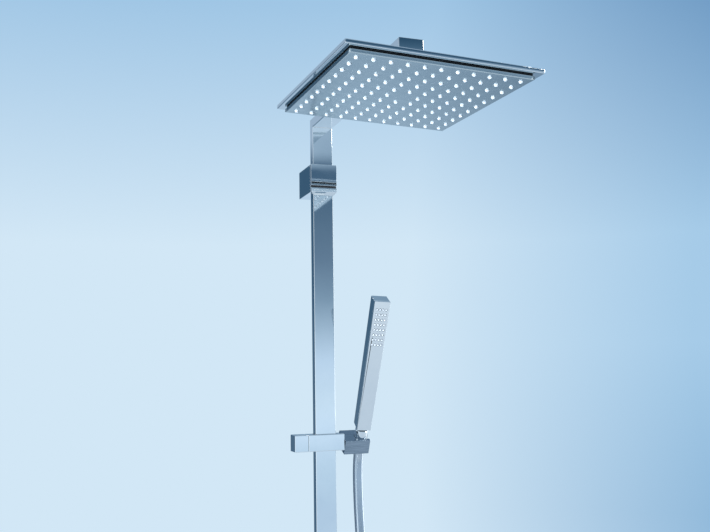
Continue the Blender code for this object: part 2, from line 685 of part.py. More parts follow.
def clamp_knob(knob):
    """Square knob on the slider's end: a quarter turn frees the brake."""
    high = -SLIDER_HALF - RUNNING
    low = high - KNOB_LENGTH
    shape = block((low, -HALF_DEPTH, -HALF_TALL), (high, HALF_DEPTH, HALF_TALL))
    made = piece("clamp_knob", shape, chrome(), knob)
    bore_end = high - 11.5 * MM
    cut(made, rod(SHAFT_RADIUS + GAP, bore_end, high + MM, "X"))
    piece("clamp_shaft", rod(SHAFT_RADIUS, bore_end + GAP, SHAFT_END, "X"), steel(), knob)


def brake_pad(pad):
    half = PAD_SIZE / 2
    shape = block((PAD_FACE - PAD_LENGTH, -half, -half), (PAD_FACE, half, half))
    piece("brake_pad", shape, rubber(), pad)


# ---- cradle: local origin on the tilt axis, its tilt about X ----
NUT_BORE = NIPPLE_RADIUS + GAP
CONE_TOP = NUT_BORE + NUT_SHELL
CONE_FOOT = CONE_TOP - CONE_TAPER
CRADLE_INNER = SLIDER_HALF + 0.6 * MM
CRADLE_OUTER = CRADLE_INNER + CRADLE_WIDTH
SEAT_X = CRADLE_INNER + SEAT_OFFSET
PIN_END = CRADLE_INNER + 9.0 * MM


def cradle_block(cradle):
    """Holder with a conical seat that opens to the right for the hose."""
    shape = block((CRADLE_INNER, CRADLE_FRONT, CRADLE_FOOT), (CRADLE_OUTER, CRADLE_BACK, CRADLE_TOP))
    made = piece("cradle_block", shape, satin(), cradle)
    slope = CONE_TAPER / (CRADLE_TOP - CRADLE_FOOT)
    seat = ((0.0, CRADLE_FOOT - MM), (CONE_FOOT + GAP - slope * MM, CRADLE_FOOT - MM),
            (CONE_TOP + GAP + slope * MM, CRADLE_TOP + MM), (0.0, CRADLE_TOP + MM))
    cut(made, turned(seat, centre=(SEAT_X, 0.0, 0.0), sides=24))
    half = (HOSE_DIAMETER + HOSE_PLAY) / 2
    cut(made, block((SEAT_X, -half, CRADLE_FOOT - MM), (CRADLE_OUTER + MM, half, CRADLE_TOP + MM)))
    cut(made, rod(PIN_RADIUS + GAP, CRADLE_INNER - MM, PIN_END + GAP, "X"))


def cradle_pivot(cradle):
    piece("cradle_pin", rod(PIN_RADIUS, SLOT_X + 1.8 * MM + GAP, PIN_END, "X"), steel(), cradle)
    low, high = SLIDER_HALF - WASHER_DEPTH + GAP, CRADLE_INNER - GAP
    piece("cradle_washer", ring(PIN_RADIUS + GAP, 9.5 * MM, low, high, "X"), rubber(), cradle)


# ---- hand shower: local origin where its axis meets the tilt axis ----
HAND_TOP = HAND_FOOT + HAND_LENGTH
HAND_FACE = -HAND_DEPTH / 2
SHELL_FRONT = HAND_FACE + HAND_FRONT + GAP
NUT_TOP = HAND_FOOT - 3.5 * MM
THREAD_FOOT = 8.0 * MM
NUT_FLOOR = 4.5 * MM
HAND_PITCH_X = (HAND_TOP_WIDTH - 2 * HAND_INSET) / (HAND_COLUMNS - 1)


def hand_width(height):
    """Half width of the hand shower at a height, which narrows towards the foot."""
    share = (height - HAND_FOOT) / HAND_LENGTH
    return (HAND_FOOT_WIDTH + share * (HAND_TOP_WIDTH - HAND_FOOT_WIDTH)) / 2


def hand_loft(front, back, low, high, inset=0.0):
    return loft([(hand_width(z) - inset, front, back, z) for z in (low, high)])


def hand_nozzles():
    first = HAND_TOP - HAND_FIRST_ROW
    for row in range(HAND_ROWS):
        for column in range(HAND_COLUMNS):
            yield (column - (HAND_COLUMNS - 1) / 2) * HAND_PITCH_X, first - row * HAND_PITCH_Z


def handset_shell(hand):
    """Rear shell, hollow towards the front plate, with a hole in its foot for the nipple."""
    back = HAND_DEPTH / 2
    shell = piece("handset_shell", hand_loft(SHELL_FRONT, back, HAND_FOOT, HAND_TOP), chrome(), hand)
    low, high = HAND_FOOT + 2.5 * MM, HAND_TOP - HAND_WALL
    cut(shell, hand_loft(SHELL_FRONT - MM, back - HAND_WALL, low, high, HAND_WALL))
    cut(shell, rod(6.3 * MM, HAND_FOOT - MM, HAND_FOOT + 4.0 * MM))


def handset_front(hand):
    shape = hand_loft(HAND_FACE, HAND_FACE + HAND_FRONT, HAND_FOOT, HAND_TOP)
    front = piece("handset_front", shape, chrome(), hand)
    hole = HAND_NOZZLE + GAP
    low, high = HAND_FACE - MM, HAND_FACE + HAND_FRONT + MM
    cut(front, together([rod(hole, low, high, "Y", (x, 0.0, z), 6) for x, z in hand_nozzles()]))


def handset_nozzle_mat(hand):
    """Soft strip behind the front plate, with a nozzle in each of its holes."""
    places = list(hand_nozzles())
    margin = 3.0 * MM
    half_x = (HAND_COLUMNS - 1) / 2 * HAND_PITCH_X + HAND_NOZZLE + 0.4 * MM
    low, high = min(z for _, z in places) - margin, max(z for _, z in places) + margin
    sheet = block((-half_x, SHELL_FRONT, low), (half_x, SHELL_FRONT + 1.2 * MM, high))
    mat = piece("handset_nozzle_mat", sheet, silicone(), hand)
    tip = HAND_FACE - 0.7 * MM
    root = SHELL_FRONT + 0.6 * MM
    profile = ((0.0, tip), (HAND_NOZZLE - 0.4 * MM, tip), (HAND_NOZZLE, root), (0.0, root))
    add(mat, together([turned(profile, "Y", (x, 0.0, z), 6) for x, z in places]))


def handset_nipple(hand):
    """Threaded end that the hose's nut screws onto."""
    shoulder, top = HAND_FOOT - GAP, HAND_FOOT + 8.0 * MM
    profile = ((NIPPLE_BORE, THREAD_FOOT), (NIPPLE_RADIUS, THREAD_FOOT), (NIPPLE_RADIUS, shoulder),
               (6.0 * MM, shoulder), (6.0 * MM, top), (NIPPLE_BORE, top))
    piece("handset_nipple", turned(profile, open_bore=True), brass(), hand)
    valve = rod(NIPPLE_BORE - GAP, THREAD_FOOT + 2.0 * MM, THREAD_FOOT + 9.0 * MM)
    piece("handset_check_valve", valve, plastic(), hand)


def hose_cone_nut(hand):
    """Conical nut on the hose: it screws onto the nipple and rests in the cradle's seat."""
    bore, narrow = NUT_BORE, 5.0 * MM
    profile = ((narrow, CRADLE_FOOT), (CONE_FOOT, CRADLE_FOOT), (CONE_TOP, CRADLE_TOP),
               (CONE_TOP, NUT_TOP - MM), (CONE_TOP - MM, NUT_TOP), (bore, NUT_TOP),
               (bore, NUT_FLOOR), (narrow, NUT_FLOOR))
    piece("hose_cone_nut", turned(profile, sides=24, open_bore=True), chrome(), hand)
    washer = ring(narrow, bore - 0.5 * MM, NUT_FLOOR + GAP, THREAD_FOOT - GAP)
    piece("hose_nut_washer", washer, rubber(), hand)


# ---- hose ----
def smooth_route(points, steps):
    """Points of a Catmull-Rom curve through the route: each is a cubic blend of four neighbours."""
    ends = [2 * points[0] - points[1]] + points + [2 * points[-1] - points[-2]]
    curve = []
    for a, b, c, d in zip(ends, ends[1:], ends[2:], ends[3:]):
        for k in range(steps):
            t = k / steps
            curve.append(0.5 * (2 * b + (c - a) * t + (2 * a - 5 * b + 4 * c - d) * t ** 2
                                + (3 * b - a - 3 * c + d) * t ** 3))
    return curve + [points[-1]]


def hose():
    route = smooth_route([Vector(point) * MM for point in HOSE_ROUTE], HOSE_STEPS)
    curve = bpy.data.curves.new("hose", "CURVE")
    curve.dimensions = "3D"
    curve.bevel_depth = HOSE_DIAMETER / 2
    curve.bevel_resolution = 3
    curve.use_fill_caps = True
    spline = curve.splines.new("POLY")
    spline.points.add(len(route) - 1)
    for point, place in zip(spline.points, route):
        point.co = (*place, 1.0)
    made = bpy.data.objects.new("hose", curve)
    made.data.materials.append(hose_skin())
    bpy.context.collection.objects.link(made)


# ---- mixer: centred on the riser's axis ----
MIXER_LOW = MIXER_HEIGHT - MIXER_TALL / 2
MIXER_TOP = MIXER_HEIGHT + MIXER_TALL / 2
MIXER_BACK = -COLUMN_OUT + MIXER_DEPTH / 2
MIXER_HALF = MIXER_WIDTH / 2
MIXER_CENTRE = (0.0, -COLUMN_OUT, MIXER_HEIGHT)
STEM_END = MIXER_HALF + 20.0 * MM
BUTTON_X = MIXER_HALF + 14.0 * MM
BUTTON_HALF = 4.0 * MM
BUTTON_WELL = 6.8 * MM


def mixer_body():
    half_y = MIXER_DEPTH / 2
    body = piece("mixer_body", slab(MIXER_HALF, half_y, MIXER_LOW, MIXER_TOP, AXIS[:2]), chrome())
    bore = CARTRIDGE_RADIUS + GAP
    floor = MIXER_HALF - CARTRIDGE_LENGTH - GAP
    cut(body, rod(bore, floor, MIXER_HALF + MM, "X", MIXER_CENTRE))
    cut(body, rod(bore, -MIXER_HALF - MM, -floor, "X", MIXER_CENTRE))
    cut(body, rod(5.3 * MM, MIXER_TOP - 8.5 * MM, MIXER_TOP + MM, centre=AXIS))
    cut(body, rod(6.3 * MM, MIXER_LOW - MM, MIXER_LOW + 6.0 * MM, centre=(OUTLET_X, -COLUMN_OUT, 0.0)))


def inlet(name, x):
    """Wall rose, union and filter of one water inlet."""
    half = ROSE_SIZE / 2
    centre = (x, 0.0, MIXER_HEIGHT)
    shape = block((x - half, -ROSE_DEPTH, MIXER_HEIGHT - half), (x + half, 0.0, MIXER_HEIGHT + half))
    rose = piece(f"inlet_rose_{name}", shape, chrome())
    cut(rose, rod(UNION_RADIUS + GAP, -ROSE_DEPTH - MM, MM, "Y", centre, 20))
    union = ring(UNION_BORE, UNION_RADIUS, MIXER_BACK + GAP, -2.0 * MM, "Y", centre, 20)
    piece(f"inlet_union_{name}", union, chrome())
    piece(f"inlet_filter_{name}", rod(UNION_BORE - GAP, -18.0 * MM, -14.0 * MM, "Y", centre), steel())


def cartridge(name, side):
    """Valve cartridge in the mixer's end, with the stem that carries its handle."""
    low, high = MIXER_HALF - CARTRIDGE_LENGTH, MIXER_HALF
    profile = [(0.0, low), (CARTRIDGE_RADIUS, low), (CARTRIDGE_RADIUS, high), (STEM_RADIUS, high),
               (STEM_RADIUS, STEM_END), (0.0, STEM_END)]
    piece(name, turned([(radius, side * x) for radius, x in profile], "X", MIXER_CENTRE), brass())


def handle(name, side, axis):
    """Square handle on a stem: local origin on the stem's axis, at the mixer's end."""
    half = HANDLE_SIZE / 2
    low, high = sorted((side * RUNNING, side * (RUNNING + HANDLE_LENGTH)))
    made = piece(name, block((low, -half, -half), (high, half, half)), chrome(), axis)
    bore = sorted((0.0, side * (STEM_END - MIXER_HALF + RUNNING)))
    cut(made, rod(STEM_RADIUS + RUNNING, *bore, "X"))
    return made


def temperature_handle():
    axis = pivot("temp_axis", (MIXER_HALF, -COLUMN_OUT, MIXER_HEIGHT))
    made = handle("temp_handle", 1, axis)
    x = BUTTON_X - MIXER_HALF
    half = HANDLE_SIZE / 2
    side = BUTTON_HALF + RUNNING
    cut(made, block((x - side, -side, half - BUTTON_WELL), (x + side, side, half + MM)))
    low, high = half - 3.5 * MM, half + 1.5 * MM
    button = block((x - BUTTON_HALF, -BUTTON_HALF, low), (x + BUTTON_HALF, BUTTON_HALF, high))
    piece("temp_stop_button", button, plastic(), axis)


def flow_handle():
    axis = pivot("flow_axis", (-MIXER_HALF, -COLUMN_OUT, MIXER_HEIGHT))
    handle("flow_handle", -1, axis)


def hose_outlet():
    """Outlet nipple under the mixer and the nut that holds the hose's lower end."""
    centre = (OUTLET_X, -COLUMN_OUT, MIXER_LOW)
    foot, flange = -16.0 * MM, 11.0 * MM
    nipple = ((NIPPLE_BORE, foot), (NIPPLE_RADIUS, foot), (NIPPLE_RADIUS, -7.0 * MM), (flange, -6.0 * MM),
              (flange, -GAP), (6.0 * MM, -GAP), (6.0 * MM, 5.0 * MM), (NIPPLE_BORE, 5.0 * MM))
    piece("hose_outlet", turned(nipple, centre=centre, sides=20, open_bore=True), chrome())
    bore, narrow, outer = NUT_BORE, 5.0 * MM, NUT_BORE + 1.9 * MM
    floor, low, high = foot - 1.5 * MM, foot - 10.3 * MM, -8.0 * MM
    nut = ((narrow, low), (outer - 1.8 * MM, low), (outer, low + 4.3 * MM), (outer, high),
           (bore, high), (bore, floor), (narrow, floor))
    piece("hose_lower_nut", turned(nut, centre=centre, sides=20, open_bore=True), chrome())


# ---- assembly ----
def clear_scene():
    for item in list(bpy.data.objects):
        bpy.data.objects.remove(item, do_unlink=True)


def build_bracket():
    bracket_base()
    bracket_screw("bracket_screw_upper", 1)
    bracket_screw("bracket_screw_lower", -1)
    bracket_housing()
    bracket_grub_screw()
    bracket_front()
    swivel_bush()


def build_riser():
    riser_tube()
    riser_plugs()
    riser_foot_collar()


def build_arm():
    axis = pivot("arm_axis", (0.0, -COLUMN_OUT, BRACKET_TOP))
    arm_tube(axis)
    arm_spigot(axis)
    spigot_orings(axis)
    arm_end_cap(axis)
    ball_stud(axis)
    return axis


def build_head(arm_axis):
    ball = (0.0, -HEAD_REACH, ARM_LOW - BALL_DROP)
    ball_seat_ring(pivot("ball_centre", ball, arm_axis))
    head = pivot("head_centre", ball, arm_axis, (0.0, HEAD_ROLL, HEAD_YAW))
    head_socket(head)
    ball_nut(head)
    head_cover(head)
    head_gasket(head)
    head_spray_plate(head)
    head_nozzle_mat(head)


def build_slider():
    slider = pivot("slider_centre", (0.0, -COLUMN_OUT, SLIDER_HEIGHT))
    slider_body(slider)
    slider_liner(slider)
    clamp_knob(pivot("knob_axis", (0.0, 0.0, 0.0), slider))
    brake_pad(pivot("pad_guide", (0.0, 0.0, 0.0), slider))
    cradle = pivot("cradle_axis", (0.0, 0.0, 0.0), slider, (CRADLE_TILT, 0.0, 0.0))
    cradle_block(cradle)
    cradle_pivot(cradle)
    return cradle


def build_hand_shower(cradle):
    hand = pivot("hand_axis", (SEAT_X, 0.0, 0.0), cradle, (0.0, 0.0, HAND_SPIN))
    handset_shell(hand)
    handset_front(hand)
    handset_nozzle_mat(hand)
    handset_nipple(hand)
    hose_cone_nut(hand)


def build_mixer():
    mixer_body()
    inlet("left", -INLET_PITCH / 2)
    inlet("right", INLET_PITCH / 2)
    cartridge("temp_cartridge", 1)
    cartridge("flow_cartridge", -1)
    temperature_handle()
    flow_handle()
    hose_outlet()


clear_scene()
build_bracket()
build_riser()
build_head(build_arm())
build_hand_shower(build_slider())
hose()
build_mixer()
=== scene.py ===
"""Looks of the wall-mounted rainfall shower column: camera, hose, finishes, refined pieces and studio."""

import json

import bmesh
import bpy
import numpy as np
from mathutils import Matrix, Vector

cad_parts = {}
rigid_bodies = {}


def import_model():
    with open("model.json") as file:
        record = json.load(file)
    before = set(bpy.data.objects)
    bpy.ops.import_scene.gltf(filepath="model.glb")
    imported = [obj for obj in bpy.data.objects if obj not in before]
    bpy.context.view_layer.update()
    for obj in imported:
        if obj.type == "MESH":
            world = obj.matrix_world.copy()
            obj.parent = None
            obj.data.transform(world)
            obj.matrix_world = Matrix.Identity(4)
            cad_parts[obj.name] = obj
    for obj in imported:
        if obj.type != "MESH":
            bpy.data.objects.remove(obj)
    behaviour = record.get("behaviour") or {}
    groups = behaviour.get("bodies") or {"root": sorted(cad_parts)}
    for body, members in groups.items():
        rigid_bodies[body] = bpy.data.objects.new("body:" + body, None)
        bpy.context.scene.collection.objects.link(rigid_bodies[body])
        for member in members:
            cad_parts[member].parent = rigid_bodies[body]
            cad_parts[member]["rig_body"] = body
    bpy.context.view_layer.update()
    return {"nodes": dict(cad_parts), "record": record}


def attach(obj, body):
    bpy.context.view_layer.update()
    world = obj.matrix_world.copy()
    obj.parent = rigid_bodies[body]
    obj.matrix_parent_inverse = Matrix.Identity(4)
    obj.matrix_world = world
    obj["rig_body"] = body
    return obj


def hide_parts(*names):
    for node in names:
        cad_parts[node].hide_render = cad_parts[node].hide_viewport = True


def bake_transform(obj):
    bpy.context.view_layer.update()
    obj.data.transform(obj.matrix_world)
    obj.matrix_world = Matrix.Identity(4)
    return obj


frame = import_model()

MM = 0.001
BALL = np.array([0.0, -360.2, 57.0])          # centre of the ball joint over the head
SLIDER = np.array([0.0, -50.5, -380.5])       # centre of the slider on the riser
CRADLE_TILT = 25.0                            # degrees the cradle leans out at rest
HAND_SPIN = -6.9                              # degrees the hand shower is turned in its seat
HEAD_TURN, HEAD_LEAN = 2.05, 1.16             # how the head hangs on its ball, degrees
EDGE_STEPS = 3                                # faces over a rounded edge
CORNER_STEPS = 4                              # faces round an upright corner


# ---------------------------------------------------------------- camera

def aim_camera():
    """View direction from azimuth, elevation and roll: forward = (sin a cos e, cos a cos e, sin e)."""
    azimuth, elevation, roll = np.radians([19.89, 6.66, -0.903])
    forward = np.array([np.sin(azimuth) * np.cos(elevation),
                        np.cos(azimuth) * np.cos(elevation), np.sin(elevation)])
    level = np.array([np.cos(azimuth), -np.sin(azimuth), 0.0])
    upright = np.cross(level, forward)
    right = np.cos(roll) * level + np.sin(roll) * upright
    up = -np.sin(roll) * level + np.cos(roll) * upright
    data = bpy.data.cameras.new("studio_camera")
    data.lens, data.sensor_width, data.clip_start, data.clip_end = 43.504, 36.0, 0.02, 60.0
    camera = bpy.data.objects.new("studio_camera", data)
    turn = np.eye(4)
    turn[:3, 0], turn[:3, 1], turn[:3, 2] = right, up, -forward
    turn[:3, 3] = (-0.3785, -1.2361, -0.2738)
    camera.matrix_world = Matrix(turn.tolist())
    bpy.context.scene.collection.objects.link(camera)
    bpy.context.scene.camera = camera


aim_camera()


# ---------------------------------------------------------------- materials

def lin(r, g, b):
    """Display colour 0..255 to the linear colour that the shader takes."""
    c = np.array([r, g, b], float) / 255
    c = np.where(c <= 0.04045, c / 12.92, ((c + 0.055) / 1.055) ** 2.4)
    return (float(c[0]), float(c[1]), float(c[2]), 1.0)


class Val:
    """A shader value; arithmetic on it adds Math nodes."""

    def __init__(self, tree, socket):
        self.tree, self.socket = tree, socket

    def math(self, operation, *others):
        return add(self.tree, "ShaderNodeMath", {"operation": operation},
                   dict(enumerate((self,) + others)))

    def __add__(self, o): return self.math("ADD", o)
    def __radd__(self, o): return self.math("ADD", o)
    def __sub__(self, o): return self.math("SUBTRACT", o)
    def __mul__(self, o): return self.math("MULTIPLY", o)
    def __rmul__(self, o): return self.math("MULTIPLY", o)

    def __rsub__(self, o):
        return add(self.tree, "ShaderNodeMath", {"operation": "SUBTRACT"}, {0: o, 1: self})


def add(tree, kind, settings=None, inputs=None, output=0):
    """Adds one node: its settings first (a ramp's stops too), then values or links on its sockets."""
    node = tree.nodes.new(kind)
    for key, value in (settings or {}).items():
        if key == "stops":
            ramp = node.color_ramp
            for place, colour in value[:-2]:
                ramp.elements.new(place)
            for element, (place, colour) in zip(ramp.elements, value):
                element.position, element.color = place, colour
        else:
            setattr(node, key, value)
    for key, value in (inputs or {}).items():
        if isinstance(value, Val):
            tree.links.new(value.socket, node.inputs[key])
        else:
            node.inputs[key].default_value = value
    return Val(tree, node.outputs[output]) if len(node.outputs) else node


def material(name, constants):
    """A new material with a Principled surface; returns the material, its tree and its shader node."""
    made = bpy.data.materials.new(name)
    made.use_nodes = True
    shader = made.node_tree.nodes["Principled BSDF"]
    for key, value in constants.items():
        shader.inputs[key].default_value = value
    return made, made.node_tree, shader


def noise(tree, place, scale, detail=2.0, roughness=0.5):
    """Soft noise from 0 to 1 over a place in metres."""
    return add(tree, "ShaderNodeTexNoise", {}, {"Vector": place, "Scale": scale, "Detail": detail,
                                                "Roughness": roughness})


def span(value, low, high, start=0.0, end=1.0):
    """Straight line that takes start..end to low..high, held at both ends."""
    return add(value.tree, "ShaderNodeMapRange", {}, {"Value": value, "From Min": start, "From Max": end,
                                                      "To Min": low, "To Max": high})


def here(tree):
    """The place on the piece, in metres."""
    return add(tree, "ShaderNodeTexCoord", {}, {}, output=3)


def tint(tree, factor, first, second):
    """Colour that goes from the first to the second as the factor goes from 0 to 1."""
    return add(tree, "ShaderNodeMix", {"data_type": "RGBA"}, {0: factor, 6: first, 7: second}, output=2)


def bump(tree, height, strength, distance):
    return add(tree, "ShaderNodeBump", {}, {"Height": height, "Strength": strength, "Distance": distance})


def link(tree, value, socket):
    tree.links.new(value.socket, socket)


def plated(name, bright, dull, rough_low, rough_high):
    """Plated metal: a thin film of drying marks varies its gloss and tint, and the plating has a faint wave."""
    made, tree, shader = material(name, {"Metallic": 1.0, "Specular IOR Level": 0.5})
    place = here(tree)
    film = noise(tree, place, 14.0, 4.0, 0.62)
    marks = span(noise(tree, place, 95.0, 3.0, 0.6), 0.0, 1.0, 0.55, 0.78)
    haze = span(film, 0.0, 1.0, 0.38, 0.72)
    link(tree, tint(tree, haze * 0.6 + marks * 0.25, bright, dull), shader.inputs["Base Color"])
    link(tree, haze * (rough_high - rough_low) + marks * 0.02 + rough_low, shader.inputs["Roughness"])
    link(tree, bump(tree, noise(tree, place, 26.0, 1.0), 0.02, 0.0006), shader.inputs["Normal"])
    return made


def brushed(name, bright, dull, low, high, stretch, grain=0.10):
    """Drawn or turned metal: noise stretched along one axis gives fine lines in colour, gloss and bump."""
    made, tree, shader = material(name, {"Metallic": 1.0})
    turned_place = add(tree, "ShaderNodeMapping", {}, {"Vector": here(tree), "Scale": stretch})
    lines = noise(tree, turned_place, 900.0, 3.0, 0.65)
    link(tree, tint(tree, span(lines, 0.0, 1.0, 0.3, 0.7), dull, bright), shader.inputs["Base Color"])
    link(tree, span(lines, high, low, 0.3, 0.7), shader.inputs["Roughness"])
    link(tree, bump(tree, lines, grain, 0.0001), shader.inputs["Normal"])
    return made


def moulded(name, colour, worn, low, high, scale, strength):
    """Moulded rubber or plastic: fine grain in the bump, a slow change of tint and gloss."""
    made, tree, shader = material(name, {"Metallic": 0.0, "Specular IOR Level": 0.5})
    place = here(tree)
    slow = noise(tree, place, 30.0, 3.0, 0.55)
    grain = noise(tree, place, scale, 2.0, 0.6)
    link(tree, tint(tree, span(slow, 0.0, 1.0, 0.35, 0.7), colour, worn), shader.inputs["Base Color"])
    link(tree, span(slow, low, high, 0.3, 0.7), shader.inputs["Roughness"])
    link(tree, bump(tree, grain, strength, 0.0002), shader.inputs["Normal"])
    return made


def hose_skin():
    """Silvery hose: u runs round it and v along it in metres; a fine wound thread lies under a clear skin."""
    made, tree, shader = material("silver_hose_skin", {"Metallic": 0.85, "Coat Weight": 0.6,
                                                       "Coat Roughness": 0.05})
    uv = add(tree, "ShaderNodeTexCoord", {}, {}, output=2)
    split = add(tree, "ShaderNodeSeparateXYZ", {}, {"Vector": uv})
    along = Val(tree, split.socket.node.outputs[1])
    thread = (along * 1100.0 + split).math("FRACT")
    ridge = span((thread - 0.5).math("ABSOLUTE"), 0.0, 1.0, 0.28, 0.5)
    film = noise(tree, here(tree), 40.0, 2.0)
    link(tree, tint(tree, ridge * 0.5 + film * 0.2, lin(188, 198, 207), lin(136, 148, 160)),
         shader.inputs["Base Color"])
    link(tree, ridge * 0.10 + film * 0.06 + 0.13, shader.inputs["Roughness"])
    link(tree, bump(tree, ridge, 0.12, 0.0002), shader.inputs["Normal"])
    return made


CHROME = plated("polished_chrome", lin(246, 248, 248), lin(232, 237, 240), 0.025, 0.065)
SPRAY_FACE = plated("satin_plate_face", lin(205, 215, 217), lin(197, 208, 211), 0.16, 0.21)
SATIN = brushed("satin_chrome_cradle", lin(168, 181, 193), lin(130, 145, 158), 0.17, 0.30,
                (0.03, 1.0, 1.0), 0.05)
STEEL = brushed("drawn_steel", lin(205, 209, 213), lin(150, 155, 160), 0.24, 0.42, (1.0, 1.0, 0.04))
BRASS = brushed("turned_brass", lin(226, 190, 118), lin(176, 138, 74), 0.20, 0.38, (0.05, 1.0, 1.0))
RUBBER = moulded("black_rubber_seal", lin(13, 16, 20), lin(22, 26, 31), 0.40, 0.55, 500.0, 0.05)
SILICONE = moulded("pale_silicone", lin(236, 241, 246), lin(222, 230, 238), 0.22, 0.38, 700.0, 0.10)
PLASTIC = moulded("black_moulded_plastic", lin(22, 24, 28), lin(36, 39, 44), 0.28, 0.45, 1200.0, 0.18)
HOSE_SKIN = hose_skin()
FINISHES = {"chrome": CHROME, "satin_chrome": SATIN, "steel": STEEL, "brass": BRASS,
            "black_rubber": RUBBER, "silicone": SILICONE, "black_plastic": PLASTIC,
            "silver_hose": HOSE_SKIN}

SLOT_OF = {item["node"]: item["material_slot"] for item in frame["record"]["subparts"]}
for node_name, node in frame["nodes"].items():
    node.data.materials.clear()
    node.data.materials.append(FINISHES[SLOT_OF[node_name]])


# ---------------------------------------------------------------- shapes

def body_of(node_name):
    """The CAD body that a node rides on."""
    return frame["nodes"][node_name]["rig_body"]


def settle(name, mesh, finish, node_names, rides=True):
    """Makes the object and its normals: each vertex normal is the sum of its faces' normals by area."""
    mesh.polygons.foreach_set("use_smooth", np.ones(len(mesh.polygons), bool))
    mesh.materials.clear()
    mesh.materials.append(finish)
    mesh.update()
    area = np.zeros(len(mesh.polygons))
    facing = np.zeros(len(mesh.polygons) * 3)
    mesh.polygons.foreach_get("area", area)
    mesh.polygons.foreach_get("normal", facing)
    count = np.zeros(len(mesh.polygons), int)
    corner = np.zeros(len(mesh.loops), int)
    mesh.polygons.foreach_get("loop_total", count)
    mesh.loops.foreach_get("vertex_index", corner)
    total = np.zeros((len(mesh.vertices), 3))
    np.add.at(total, corner, np.repeat(facing.reshape(-1, 3) * area[:, None], count, axis=0))
    total /= np.maximum(np.linalg.norm(total, axis=1), 1e-20)[:, None]
    mesh.normals_split_custom_set_from_vertices(total.tolist())
    made = bpy.data.objects.new(name, mesh)
    bpy.context.scene.collection.objects.link(made)
    if rides:
        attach(made, body_of(node_names[0]))
    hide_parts(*node_names)
    return made


def build(name, shells, finish, *node_names, rides=True):
    """One piece from shells of (points in mm, faces)."""
    points, faces, start = [], [], 0
    for place, fs in shells:
        points.append(place)
        faces += [tuple(i + start for i in f) for f in fs]
        start += len(place)
    mesh = bpy.data.meshes.new(name)
    mesh.from_pydata((np.concatenate(points) * MM).tolist(), [], faces)
    return settle(name, mesh, finish, node_names, rides)


def loop_grid(rows, columns, closed=False):
    """Quads between neighbouring points of a grid whose columns go round; rows close too if asked."""
    r = np.arange(rows if closed else rows - 1)[:, None]
    c = np.arange(columns)[None, :]
    a, b = r * columns + c, r * columns + (c + 1) % columns
    up, over = (r + 1) % rows * columns + c, (r + 1) % rows * columns + (c + 1) % columns
    return np.stack([a, b, over, up], -1).reshape(-1, 4).tolist()


def shell(loops, closed=False):
    """Skin over a stack of loops (stations, points, 3), a face over each end unless it closes on itself."""
    rows, columns = loops.shape[:2]
    faces = loop_grid(rows, columns, closed)
    if not closed:
        faces += [list(range(columns))[::-1], list(range((rows - 1) * columns, rows * columns))]
    return loops.reshape(-1, 3), faces


def round_loop(half_u, half_v, radius):
    """Loop round a rectangle, counter-clockwise: corner centre + radius (cos t, sin t), a quarter turn each."""
    t = (np.arange(4)[:, None] * 90 + np.linspace(0, 90, CORNER_STEPS + 1)[None, :]) * np.pi / 180
    side_u, side_v = np.array([1, -1, -1, 1])[:, None], np.array([1, 1, -1, -1])[:, None]
    u = side_u * (half_u - radius) + radius * np.cos(t)
    v = side_v * (half_v - radius) + radius * np.sin(t)
    return np.stack([u.ravel(), v.ravel()], 1)


def arc():
    """Pairs (inset, rise) of a quarter arc of radius 1: inset 1 - sin a, rise 1 - cos a, a from 0 to 90."""
    a = np.linspace(0, np.pi / 2, EDGE_STEPS + 1)
    return np.stack([1 - np.sin(a), 1 - np.cos(a)], 1)


def stack(rows):
    """Loops stacked in z: each row is (half x, half y, corner radius, z)."""
    return np.stack([np.column_stack([round_loop(hx, hy, max(r, 0.02)),
                                      np.full(4 * (CORNER_STEPS + 1), z)]) for hx, hy, r, z in rows])


def block_rows(half_x, half_y, low, high, edge, corner):
    """Rows of a box whose end edges are arcs: the loop is drawn in by edge (1 - sin a) at each end."""
    bends = arc()
    lower = [(half_x - edge * i, half_y - edge * i, corner - edge * i * 0.9, low + edge * r)
             for i, r in bends]
    upper = [(half_x - edge * i, half_y - edge * i, corner - edge * i * 0.9, high - edge * r)
             for i, r in bends[::-1]]
    return lower + upper


def sleeve(outer, inner, low, high, edge, inner_edge):
    """A box with a rectangular way through it: outer rows up, inner rows down, closed into a ring."""
    out = block_rows(outer[0], outer[1], low, high, edge, edge)
    bends = arc()
    down = [(inner[0] + inner_edge * i, inner[1] + inner_edge * i, 0.5, high - inner_edge * r)
            for i, r in bends]
    back = [(inner[0] + inner_edge * i, inner[1] + inner_edge * i, 0.5, low + inner_edge * r)
            for i, r in bends[::-1]]
    return shell(stack(out + down + back), closed=True)


def turned(profile, sides, closed=False):
    """Profile (radius, z) carried round z: x = r cos t, y = r sin t; an open one gets a face over each end,
    a closed one has none. Faces point out where the outer side of the profile runs upwards."""
    profile = np.array(profile, float)
    t = np.linspace(0, 2 * np.pi, sides, endpoint=False)
    loops = np.stack([profile[:, None, 0] * np.cos(t), profile[:, None, 0] * np.sin(t),
                      np.repeat(profile[:, 1:2], sides, 1)], -1)
    return shell(loops, closed)


def eased(profile, edge):
    """A (radius, z) profile with each inner corner p replaced by the short curve
    (1-s)^2 a + 2s(1-s) p + s^2 b between points a and b on its two sides."""
    p = np.array(profile, float)
    s = np.linspace(0, 1, EDGE_STEPS + 1)[:, None]
    out = [p[:1]]
    for k in range(1, len(p) - 1):
        back, fore = p[k - 1] - p[k], p[k + 1] - p[k]
        reach = min(edge, np.linalg.norm(back) * 0.45, np.linalg.norm(fore) * 0.45)
        a, b = p[k] + back / np.linalg.norm(back) * reach, p[k] + fore / np.linalg.norm(fore) * reach
        out.append((1 - s) ** 2 * a + 2 * s * (1 - s) * p[k] + s ** 2 * b)
    return np.concatenate(out + [p[-1:]])


